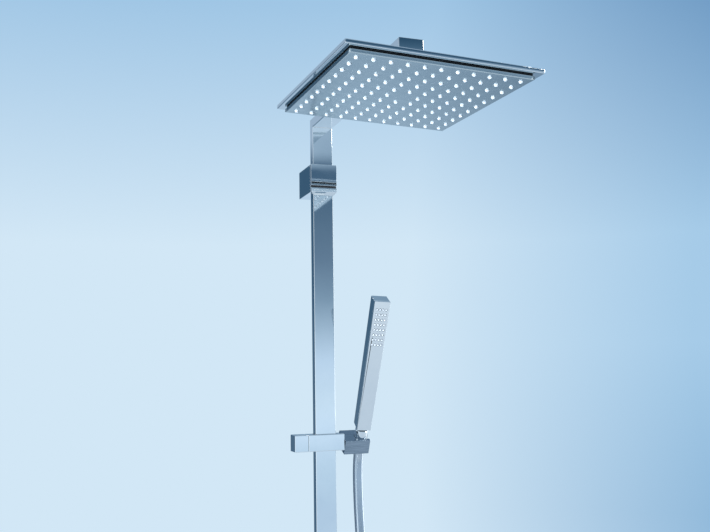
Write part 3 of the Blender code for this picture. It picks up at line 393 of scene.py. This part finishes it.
def spin(axis, degrees):
    return np.array(Matrix.Rotation(np.radians(degrees), 3, axis))


def placed(part, turn, at):
    """The same shell turned about the origin and then moved."""
    return part[0] @ turn.T + np.asarray(at, float), part[1]


def moved(part, at):
    return placed(part, np.eye(3), at)


def turned_over(part):
    """The same shell with its faces pointing the other way."""
    return part[0], [face[::-1] for face in part[1]]


def softened(node_name, width):
    """The node's own shape with its triangles merged into flat faces and each edge an arc of that width."""
    work = bmesh.new()
    work.from_mesh(frame["nodes"][node_name].data)
    bmesh.ops.remove_doubles(work, verts=work.verts, dist=2e-6)
    bmesh.ops.dissolve_limit(work, angle_limit=np.radians(0.6), verts=work.verts, edges=work.edges)
    rough = bpy.data.meshes.new(node_name + "_edges")
    work.to_mesh(rough)
    work.free()
    rounding = bpy.data.objects.new(node_name + "_edges", rough)
    bpy.context.scene.collection.objects.link(rounding)
    bevel = rounding.modifiers.new("edges", "BEVEL")
    bevel.width, bevel.segments, bevel.limit_method = width * MM, EDGE_STEPS, "ANGLE"
    bevel.angle_limit, bevel.use_clamp_overlap = np.radians(30), False
    bpy.context.view_layer.update()
    mesh = bpy.data.meshes.new_from_object(rounding.evaluated_get(bpy.context.evaluated_depsgraph_get()))
    bpy.data.objects.remove(rounding)
    return settle(node_name + "_finished", mesh, FINISHES[SLOT_OF[node_name]], [node_name])


# ---------------------------------------------------------------- hose

HOSE_ROUTE = [
    (54.1, -44.2, -394.0), (54.1, -41.3, -402.5), (54.0, -39.3, -413.0), (53.9, -38.1, -428.0),
    (53.9, -38.2, -447.0), (53.9, -39.7, -471.0), (54.0, -43.0, -502.0), (54.1, -48.6, -543.0),
    (54.3, -56.8, -597.0), (54.7, -66.5, -662.0), (55.3, -75.8, -735.0), (56.2, -83.2, -812.0),
    (57.2, -87.9, -890.0), (58.3, -89.6, -965.0), (59.2, -88.9, -1037.0), (59.9, -87.0, -1100.0),
    (60.3, -84.9, -1150.0), (60.0, -83.0, -1186.0), (55.3, -81.4, -1212.9), (41.3, -79.6, -1236.7),
    (20.0, -77.6, -1252.5), (-4.0, -75.4, -1257.7), (-28.0, -73.0, -1252.5), (-49.3, -70.4, -1236.7),
    (-63.3, -67.6, -1212.9), (-68.0, -64.8, -1186.0), (-69.0, -61.0, -1143.0), (-68.2, -56.9, -1096.0),
    (-66.3, -53.5, -1051.0), (-64.0, -51.3, -1010.0), (-62.4, -50.6, -974.0), (-62.0, -50.5, -945.6)]
HOSE_RADIUS = 7.0


def smooth_route(points):
    """Catmull-Rom curve: between b and c with neighbours a and d,
    p(s) = b + s (c - a)/2 + s^2 (2a - 5b + 4c - d)/2 + s^3 (3b - 3c + d - a)/2."""
    p = np.array(points, float)
    p = np.vstack([2 * p[0] - p[1], p, 2 * p[-1] - p[-2]])
    a, b, c, d = p[:-3, None], p[1:-2, None], p[2:-1, None], p[3:, None]
    s = np.linspace(0, 1, 10, endpoint=False)[None, :, None]
    curve = (b + s * (c - a) / 2 + s ** 2 * (2 * a - 5 * b + 4 * c - d) / 2
             + s ** 3 * (3 * b - 3 * c + d - a) / 2)
    return np.vstack([curve.reshape(-1, 3), p[-2:-1]])


def make_hose():
    """Tube round the route: p(s) + r (cos t n(s) + sin t m(s)), n held as level as the route allows."""
    line = smooth_route(HOSE_ROUTE)
    ahead = np.gradient(line, axis=0)
    ahead /= np.linalg.norm(ahead, axis=1)[:, None]
    side = np.cross(ahead, np.array([0.0, 1.0, 0.0]))
    side /= np.linalg.norm(side, axis=1)[:, None]
    other = np.cross(side, ahead)
    sides = 20
    t = np.linspace(0, 2 * np.pi, sides, endpoint=False)
    loops = line[:, None] + HOSE_RADIUS * (np.cos(t)[None, :, None] * side[:, None]
                                           - np.sin(t)[None, :, None] * other[:, None])
    made = build("shower_hose", [shell(loops)], HOSE_SKIN, "hose", rides=False)
    run = np.concatenate([[0], np.cumsum(np.linalg.norm(np.diff(line, axis=0), axis=1))]) * MM
    uv = made.data.uv_layers.new(name="along_hose")
    corner = np.zeros(len(made.data.loops), int)
    made.data.loops.foreach_get("vertex_index", corner)
    around = (corner % sides) / sides
    quads = (len(line) - 1) * sides * 4
    far_side = np.zeros(len(corner), bool)
    far_side[:quads] = (np.arange(quads) % 4 == 1) | (np.arange(quads) % 4 == 2)
    around = np.where(far_side & (corner % sides == 0), 1.0, around)
    uv.data.foreach_set("uv", np.stack([around, run[corner // sides]], 1).ravel())
    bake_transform(made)
    return made


make_hose()


# ---------------------------------------------------------------- wall bracket and riser

riser = shell(stack(block_rows(15.0, 6.75, -880.7, 1.7, 0.5, 1.2)))
build("riser_tube_finished", [moved(riser, (0, -50.5, 0))], CHROME, "riser_tube")
for node_name, edge in (("bracket_housing", 0.5), ("bracket_front_cap", 0.5), ("bracket_lower_lip", 0.6),
                        ("arm_tube", 0.9), ("arm_end_cap", 0.6)):
    softened(node_name, edge)


# ---------------------------------------------------------------- overhead shower

HEAD_FRAME = spin("Z", HEAD_TURN) @ spin("Y", HEAD_LEAN)
COVER_HALF, COVER_TOP, COVER_LOW = 115.0, -15.8, -20.5    # cover's half side and levels from the ball
PLATE_HALF, PLATE_TOP, PLATE_FACE = 107.0, -22.1, -26.1   # the same for the spray plate
PITCH, GRID = 19.2, 11                                    # nozzle pitch and nozzles in a row


def on_head(part):
    return placed(part, HEAD_FRAME, BALL)


def head_cover():
    """Square cover plate with arcs on its edges and a shallow square recess under it."""
    rows = [(98.0, 98.0, 2.0, -17.6), (98.0, 98.0, 2.0, -20.2), (98.4, 98.4, 2.0, COVER_LOW)]
    rows += [(COVER_HALF - 0.7 * i, COVER_HALF - 0.7 * i, 1.4, COVER_LOW + 0.7 * r) for i, r in arc()]
    rows += [(COVER_HALF - 0.9 * i, COVER_HALF - 0.9 * i, 1.4, COVER_TOP - 0.9 * r)
             for i, r in arc()[::-1]]
    return build("overhead_cover", [on_head(shell(stack(rows)))], CHROME, "head_cover")


def cell_loops(hole, low, high, half):
    """Loops of one square cell with a round hole: a square at both faces, the hole between them."""
    sides = 16
    t = np.arange(sides) * 2 * np.pi / sides
    ring = np.stack([np.cos(t), np.sin(t)], 1)
    square = ring / np.abs(ring).max(1)[:, None] * half
    level = lambda xy, z: np.column_stack([xy, np.full(sides, z)])
    return np.stack([level(square, low), level(ring * (hole + 0.35), low), level(ring * hole, low + 0.35),
                     level(ring * hole, high), level(square, high)])


def cell_centres(columns, pitch, rows, row_pitch):
    """Grid of centres about the origin."""
    x = (np.arange(columns) - (columns - 1) / 2) * pitch
    y = (np.arange(rows) - (rows - 1) / 2) * row_pitch
    return np.stack(np.meshgrid(x, y, indexing="ij"), -1).reshape(-1, 2)


def nozzle_places():
    """(x, y, 0) of every nozzle of the head; the middle place of the grid is left free."""
    centres = cell_centres(GRID, PITCH, GRID, PITCH)
    return np.insert(centres[np.abs(centres).max(1) > 1], 2, 0.0, axis=1)


def many(one, shifts):
    """Copies of a shell as one array: points + shift, faces + the count of points before."""
    place, faces = one
    points = (place[None] + shifts[:, None]).reshape(-1, 3)
    starts = np.arange(len(shifts)) * len(place)
    return points, [tuple(np.array(face) + start) for start in starts for face in faces]


def spray_plate():
    """Plate of square cells with a hole each; its rim goes out from the cells to an edge of arcs."""
    low, high, half = PLATE_FACE, PLATE_TOP, PITCH / 2
    loops = cell_loops(2.7, low, high, half)
    levels, count = loops.shape[:2]
    cell = turned_over((loops.reshape(-1, 3), loop_grid(levels, count)))
    middle = (np.concatenate([loops[0], loops[-1]]),
              [tuple(range(count))[::-1], tuple(range(count, 2 * count))])
    shells = [many(cell, nozzle_places()), middle]
    inner = half * GRID
    t = np.array([-1.0, -np.tan(np.pi / 8), 0.0, np.tan(np.pi / 8)]) * half
    run = ((np.arange(GRID) - (GRID - 1) / 2)[:, None] * PITCH + t).ravel()
    side = np.column_stack([run, np.full(len(run), -inner)])
    loop = np.concatenate([side @ np.array([[c, s], [-s, c]]) for c, s in ((1, 0), (0, 1), (-1, 0), (0, -1))])
    rows = [(inner, low)] + [(PLATE_HALF - 0.9 * i, low + 0.9 * r) for i, r in arc()]
    rows += [(PLATE_HALF - 0.4 * i, high - 0.4 * r) for i, r in arc()[::-1]] + [(inner, high)]
    rim = np.stack([np.column_stack([loop * (h / inner), np.full(len(loop), z)]) for h, z in rows])
    shells.append((rim.reshape(-1, 3), loop_grid(len(rows), len(loop))))
    return build("overhead_spray_plate", [on_head(s) for s in shells], SPRAY_FACE, "head_spray_plate")


def nozzle(base_radius, tip_radius, root, base, proud):
    """Rubber nozzle, turned: a stem, a cone to a rounded tip, and a small hole sunk in the tip."""
    tip = base - proud
    profile = [(base_radius, root), (base_radius, base + 0.1), (tip_radius + 0.12, tip + 0.45),
               (tip_radius - 0.25, tip), (0.55, tip), (0.4, tip + 0.5)]
    return turned_over(turned(profile, 12))


def head_nozzles():
    """One thin sheet over the spray plate with a nozzle through every hole."""
    sheet = shell(stack([(96.0, 96.0, 1.0, -21.9), (96.0, 96.0, 1.0, -21.2)]))
    nozzles = many(nozzle(2.4, 1.7, -21.9, PLATE_FACE, 1.7), nozzle_places())
    return build("overhead_nozzles", [on_head(sheet), on_head(nozzles)], SILICONE, "head_nozzle_mat")


def circle_part(radius, start, end, count):
    """Points (radius sin a, -radius cos a) in (radius, z), a in degrees from straight down."""
    a = np.radians(np.linspace(start, end, count))
    return np.stack([radius * np.sin(a), -radius * np.cos(a)], 1).tolist()


def ball_joint():
    """Ball on its neck, the cup it sits in and the nut that holds it: closed profiles with eased corners
    carried round z, each started half way along its bore so that every corner is eased."""
    stud = [(2.6, 5.0)] + circle_part(9.0, 16.8, 147.8, 19) + [
        (4.8, 16.2), (9.5, 17.2), (9.5, 20.2), (5.7, 20.2), (5.7, 27.5), (2.6, 27.5), (2.6, 20.0)]
    cup = [(4.7, -12.0), (4.7, -15.5), (14.0, -15.5), (14.0, -13.5), (12.0, -13.5), (12.0, 0.0)]
    cup += circle_part(10.6, 90.0, 26.3, 9)
    nut = [(12.3, -4.0), (12.3, -9.0), (15.5, -9.0), (15.5, 3.6), (14.0, 5.2), (8.08, 5.2)]
    nut += circle_part(9.3, 119.6, 91.9, 6) + [(12.3, 0.3)]
    build("ball_on_neck", [moved(turned(eased(stud, 0.4), 48, True), BALL)], CHROME, "ball_stud")
    build("ball_cup", [on_head(turned(eased(cup, 0.4), 48, True))], CHROME, "head_socket")
    build("ball_cup_nut", [on_head(turned(eased(nut, 0.5), 48, True))], CHROME, "ball_nut")


head_cover()
spray_plate()
head_nozzles()
ball_joint()


# ---------------------------------------------------------------- slider, brake knob and cradle

SLIDER_HALF = 11.75                           # half the slider's height

slider = sleeve((26.45, 12.0), (16.7, 8.45), -SLIDER_HALF, SLIDER_HALF, 1.1, 0.3)
lining = sleeve((16.4, 8.15), (15.4, 7.15), -SLIDER_HALF, SLIDER_HALF, 0.2, 0.2)
build("slider_block_body", [moved(slider, SLIDER)], CHROME, "slider_body")
build("slider_lining", [moved(lining, SLIDER)], PLASTIC, "slider_liner")
for node_name, edge in (("clamp_knob", 1.0), ("cradle_block", 0.7), ("hose_cone_nut", 0.3),
                        ("hose_lower_nut", 0.3)):
    softened(node_name, edge)


# ---------------------------------------------------------------- hand shower

HAND_TOP = 218.5                              # cradle's tilt axis to the top of the hand shower
HAND_FIRST_ROW = 11.8                         # top of the hand shower to its first row of nozzles
HAND_COLUMNS, HAND_COLUMN_PITCH = 4, 4.3
HAND_ROWS, HAND_ROW_PITCH = 8, 7.4
HAND_FRONT = -12.0                            # its front face from its axis
TILT = spin("X", CRADLE_TILT)
SEAT = SLIDER + TILT @ np.array([54.05, 0.0, 0.0])
HAND = TILT @ spin("Z", HAND_SPIN)


def in_hand(part):
    return placed(part, HAND, SEAT)


def on_front(part, shifts):
    """Copies of a shell made round z, its y and z exchanged so that it lies along y, on the front face."""
    return in_hand(many((part[0][:, [0, 2, 1]], part[1]), shifts))


def hand_nozzles():
    """Nozzles of the hand shower in rows on the front, pointing out, and a dark plastic ring round each one
    that stands in for the shade in the gap round it: painted shade.
    """
    centres = cell_centres(HAND_COLUMNS, HAND_COLUMN_PITCH, HAND_ROWS, HAND_ROW_PITCH)
    centres[:, 1] += HAND_TOP - HAND_FIRST_ROW - (HAND_ROWS - 1) / 2 * HAND_ROW_PITCH
    shifts = np.insert(centres, 1, 0.0, axis=1)
    tip = turned_over(nozzle(1.42, 1.2, -9.0, HAND_FRONT, 0.7))
    build("hand_nozzles", [on_front(tip, shifts)], SILICONE, "handset_nozzle_mat")
    # painted shade: a dark plastic ring round each nozzle stands in for the shade in the gap between nozzle and
    # hole
    shade_ring = turned([(1.86, -9.8), (1.86, -12.04), (1.44, -12.04), (1.44, -9.8)], 14, True)
    rings = build("hand_nozzle_painted_shade_rings", [on_front(shade_ring, shifts)], PLASTIC, "handset_nozzle_mat")


def nut_gland():
    """Black collar between the hose nut and the hand shower: a ring of square section about its axis."""
    ring = turned([(7.7, 19.2), (8.9, 19.2), (8.9, 22.3), (7.7, 22.3)], 32, True)
    return build("hose_nut_gland", [in_hand(ring)], RUBBER, "hose_nut_washer")


softened("handset_shell", 0.8)
nut_gland()
softened("handset_front", 0.25)
hand_nozzles()


# ---------------------------------------------------------------- mixer

softened("mixer_body", 1.0)
for node_name in ("temp_handle", "flow_handle", "inlet_rose_left", "inlet_rose_right", "riser_foot_collar"):
    softened(node_name, 0.8)
for node_name in ("inlet_union_left", "inlet_union_right", "hose_outlet", "temp_stop_button"):
    softened(node_name, 0.4)


# ---------------------------------------------------------------- studio

def studio_light():
    """Light by direction, its height the sine of the elevation. Seen directly it is a pale wall of light,
    brighter at the left. The shiny parts see a room: pale below the horizon, a darker band above it, dark
    walls at the left and far right, and a bright panel at each side."""
    world = bpy.data.worlds.new("studio")
    bpy.context.scene.world = world
    world.use_nodes = True
    tree = world.node_tree
    tree.nodes.clear()
    direction = add(tree, "ShaderNodeTexCoord", {}, {}, output=0)
    x = add(tree, "ShaderNodeSeparateXYZ", {}, {"Vector": direction})
    y, z = Val(tree, x.socket.node.outputs[1]), Val(tree, x.socket.node.outputs[2])
    gain = 1 / 0.92                           # the plating gives back about 0.92 of what it mirrors
    stops = [(-90, 118, 140, 163), (-30, 118, 144, 168), (-21, 138, 165, 190), (-14.5, 188, 211, 232),
             (-9.4, 176, 201, 225), (-6.9, 183, 209, 231), (-3.9, 197, 221, 243), (-2.25, 200, 223, 242),
             (0.4, 184, 209, 233), (2.4, 157, 183, 206), (4.4, 123, 150, 174), (7.0, 98, 124, 149),
             (9.4, 85, 112, 137), (11.5, 74, 102, 128), (13.35, 60, 90, 117), (13.65, 142, 168, 191),
             (17.2, 148, 173, 196), (19.2, 95, 122, 147), (20.6, 60, 92, 118), (22.0, 42, 74, 100),
             (23.0, 46, 78, 104), (26.5, 128, 156, 182), (38.0, 120, 148, 172), (52.0, 124, 151, 176),
             (66.0, 184, 205, 224), (90.0, 212, 226, 240)]   # elevation in degrees, display colour
    ramp = [((np.sin(np.radians(e)) + 1) / 2, tuple(min(c * gain, 1.4) for c in lin(r, g, b)[:3]) + (1.0,))
            for e, r, g, b in stops]
    room = add(tree, "ShaderNodeValToRGB", {"stops": ramp}, {"Fac": z * 0.5 + 0.5})
    level = span(z.math("ABSOLUTE"), 1.0, 0.0, 0.30, 0.42)
    behind = span(y, 0.0, 1.0, 0.0, 0.25)
    far_right = tint(tree, span(x, 0.0, 0.78, 0.35, 0.58) * behind, room, lin(60, 92, 120))
    left_tone = tint(tree, span(z, 0.0, 1.0, 0.228, 0.262), lin(58, 90, 117), lin(158, 181, 205))
    left_wall = tint(tree, span(x, 0.0, 1.0, 0.0, -0.11) * span(y, 0.0, 1.0, -0.3, 0.3) * 0.93,
                     far_right, left_tone)
    right_panel = span(x, 0.0, 1.0, 0.79, 0.87) * span(y, 0.0, 1.0, 0.12, 0.20) * level
    lit_right = tint(tree, right_panel, left_wall, (3.2, 3.4, 3.5, 1.0))
    left_panel = span(x, 0.0, 1.0, -0.79, -0.87) * span(y, 0.0, 1.0, -0.12, -0.20) * level
    shaded = tint(tree, left_panel, lit_right, (1.7, 1.85, 1.95, 1.0))
    height = span(z, 0.0, 1.0, 0.14, 0.40)
    across = span(x, 0.0, 1.0, 0.40, 0.66) * span(y, 0.0, 1.0, 0.2, 0.5)
    left = tint(tree, height, lin(210, 231, 246), lin(160, 198, 229))
    low_right = tint(tree, span(z, 0.0, 1.0, 0.02, -0.16), lin(166, 203, 232), lin(146, 186, 219))
    right = tint(tree, height, low_right, lin(100, 146, 190))
    wall = tint(tree, across, left, right)
    seen = tint(tree, span(z, 0.0, 1.0, -0.18, -0.34), wall, lin(216, 230, 242))
    camera_ray = add(tree, "ShaderNodeLightPath", {}, {}, output=0)
    colour = tint(tree, camera_ray, shaded, seen)
    background = add(tree, "ShaderNodeBackground", {}, {"Color": colour, "Strength": 1.0})
    add(tree, "ShaderNodeOutputWorld", {}, {"Surface": background})


def studio_floor():
    """Round floor far under the column: points r (cos t, sin t). Its own colour is dark grey; it glows pale
    with painted light from its emission, and is darker nearer the column as a painted shade.
    """
    radius, level = 3.2, -1.75
    t = np.linspace(0, 2 * np.pi, 96, endpoint=False)
    place = np.column_stack([radius * np.cos(t), radius * np.sin(t), np.full(len(t), level)])
    mesh = bpy.data.meshes.new("studio_floor")
    mesh.from_pydata(place.tolist(), [], [tuple(range(len(t)))])
    finish, tree, shader = material("floor_painted_glow", {"Roughness": 0.7, "Emission Strength": 1.0})
    spot = here(tree)
    away = add(tree, "ShaderNodeVectorMath", {"operation": "LENGTH"}, {0: spot}, output=1)
    shade = span(away, 0.0, 1.0, 1.80, 2.85)
    grain = noise(tree, spot, 30.0, 2.0)
    link(tree, tint(tree, grain, lin(60, 66, 72), lin(66, 72, 78)), shader.inputs["Base Color"])
    # painted light: the floor's pale tone is its glow, with a painted shade where it is nearer the column
    link(tree, tint(tree, shade, lin(176, 194, 211), lin(212, 226, 238)), shader.inputs["Emission Color"])
    mesh.materials.append(finish)
    floor = bpy.data.objects.new("studio_floor", mesh)
    bpy.context.scene.collection.objects.link(floor)


def soft_light(name, at, to, size, power, colour, mirrored=True):
    """Square light at a place, turned to face another; unless mirrored, shiny parts don't show it."""
    data = bpy.data.lights.new(name, "AREA")
    data.shape, data.size, data.energy, data.color = "SQUARE", size, power, colour
    data.spread = np.radians(70)
    light = bpy.data.objects.new(name, data)
    light.location = at
    light.rotation_euler = (Vector(to) - Vector(at)).to_track_quat("-Z", "Y").to_euler()
    light.visible_glossy = mirrored
    bpy.context.scene.collection.objects.link(light)


studio_light()
studio_floor()
soft_light("low_fill", (-1.7, -1.3, -1.25), (0, -0.3, 0.0), 1.0, 12.0, (0.93, 0.97, 1.0), mirrored=False)
soft_light("upper_right_panel", (1.6, -1.2, 1.0), (0, -0.2, -0.3), 0.9, 6.0, (1.0, 0.99, 0.97))

bpy.context.scene.view_settings.view_transform = "Standard"
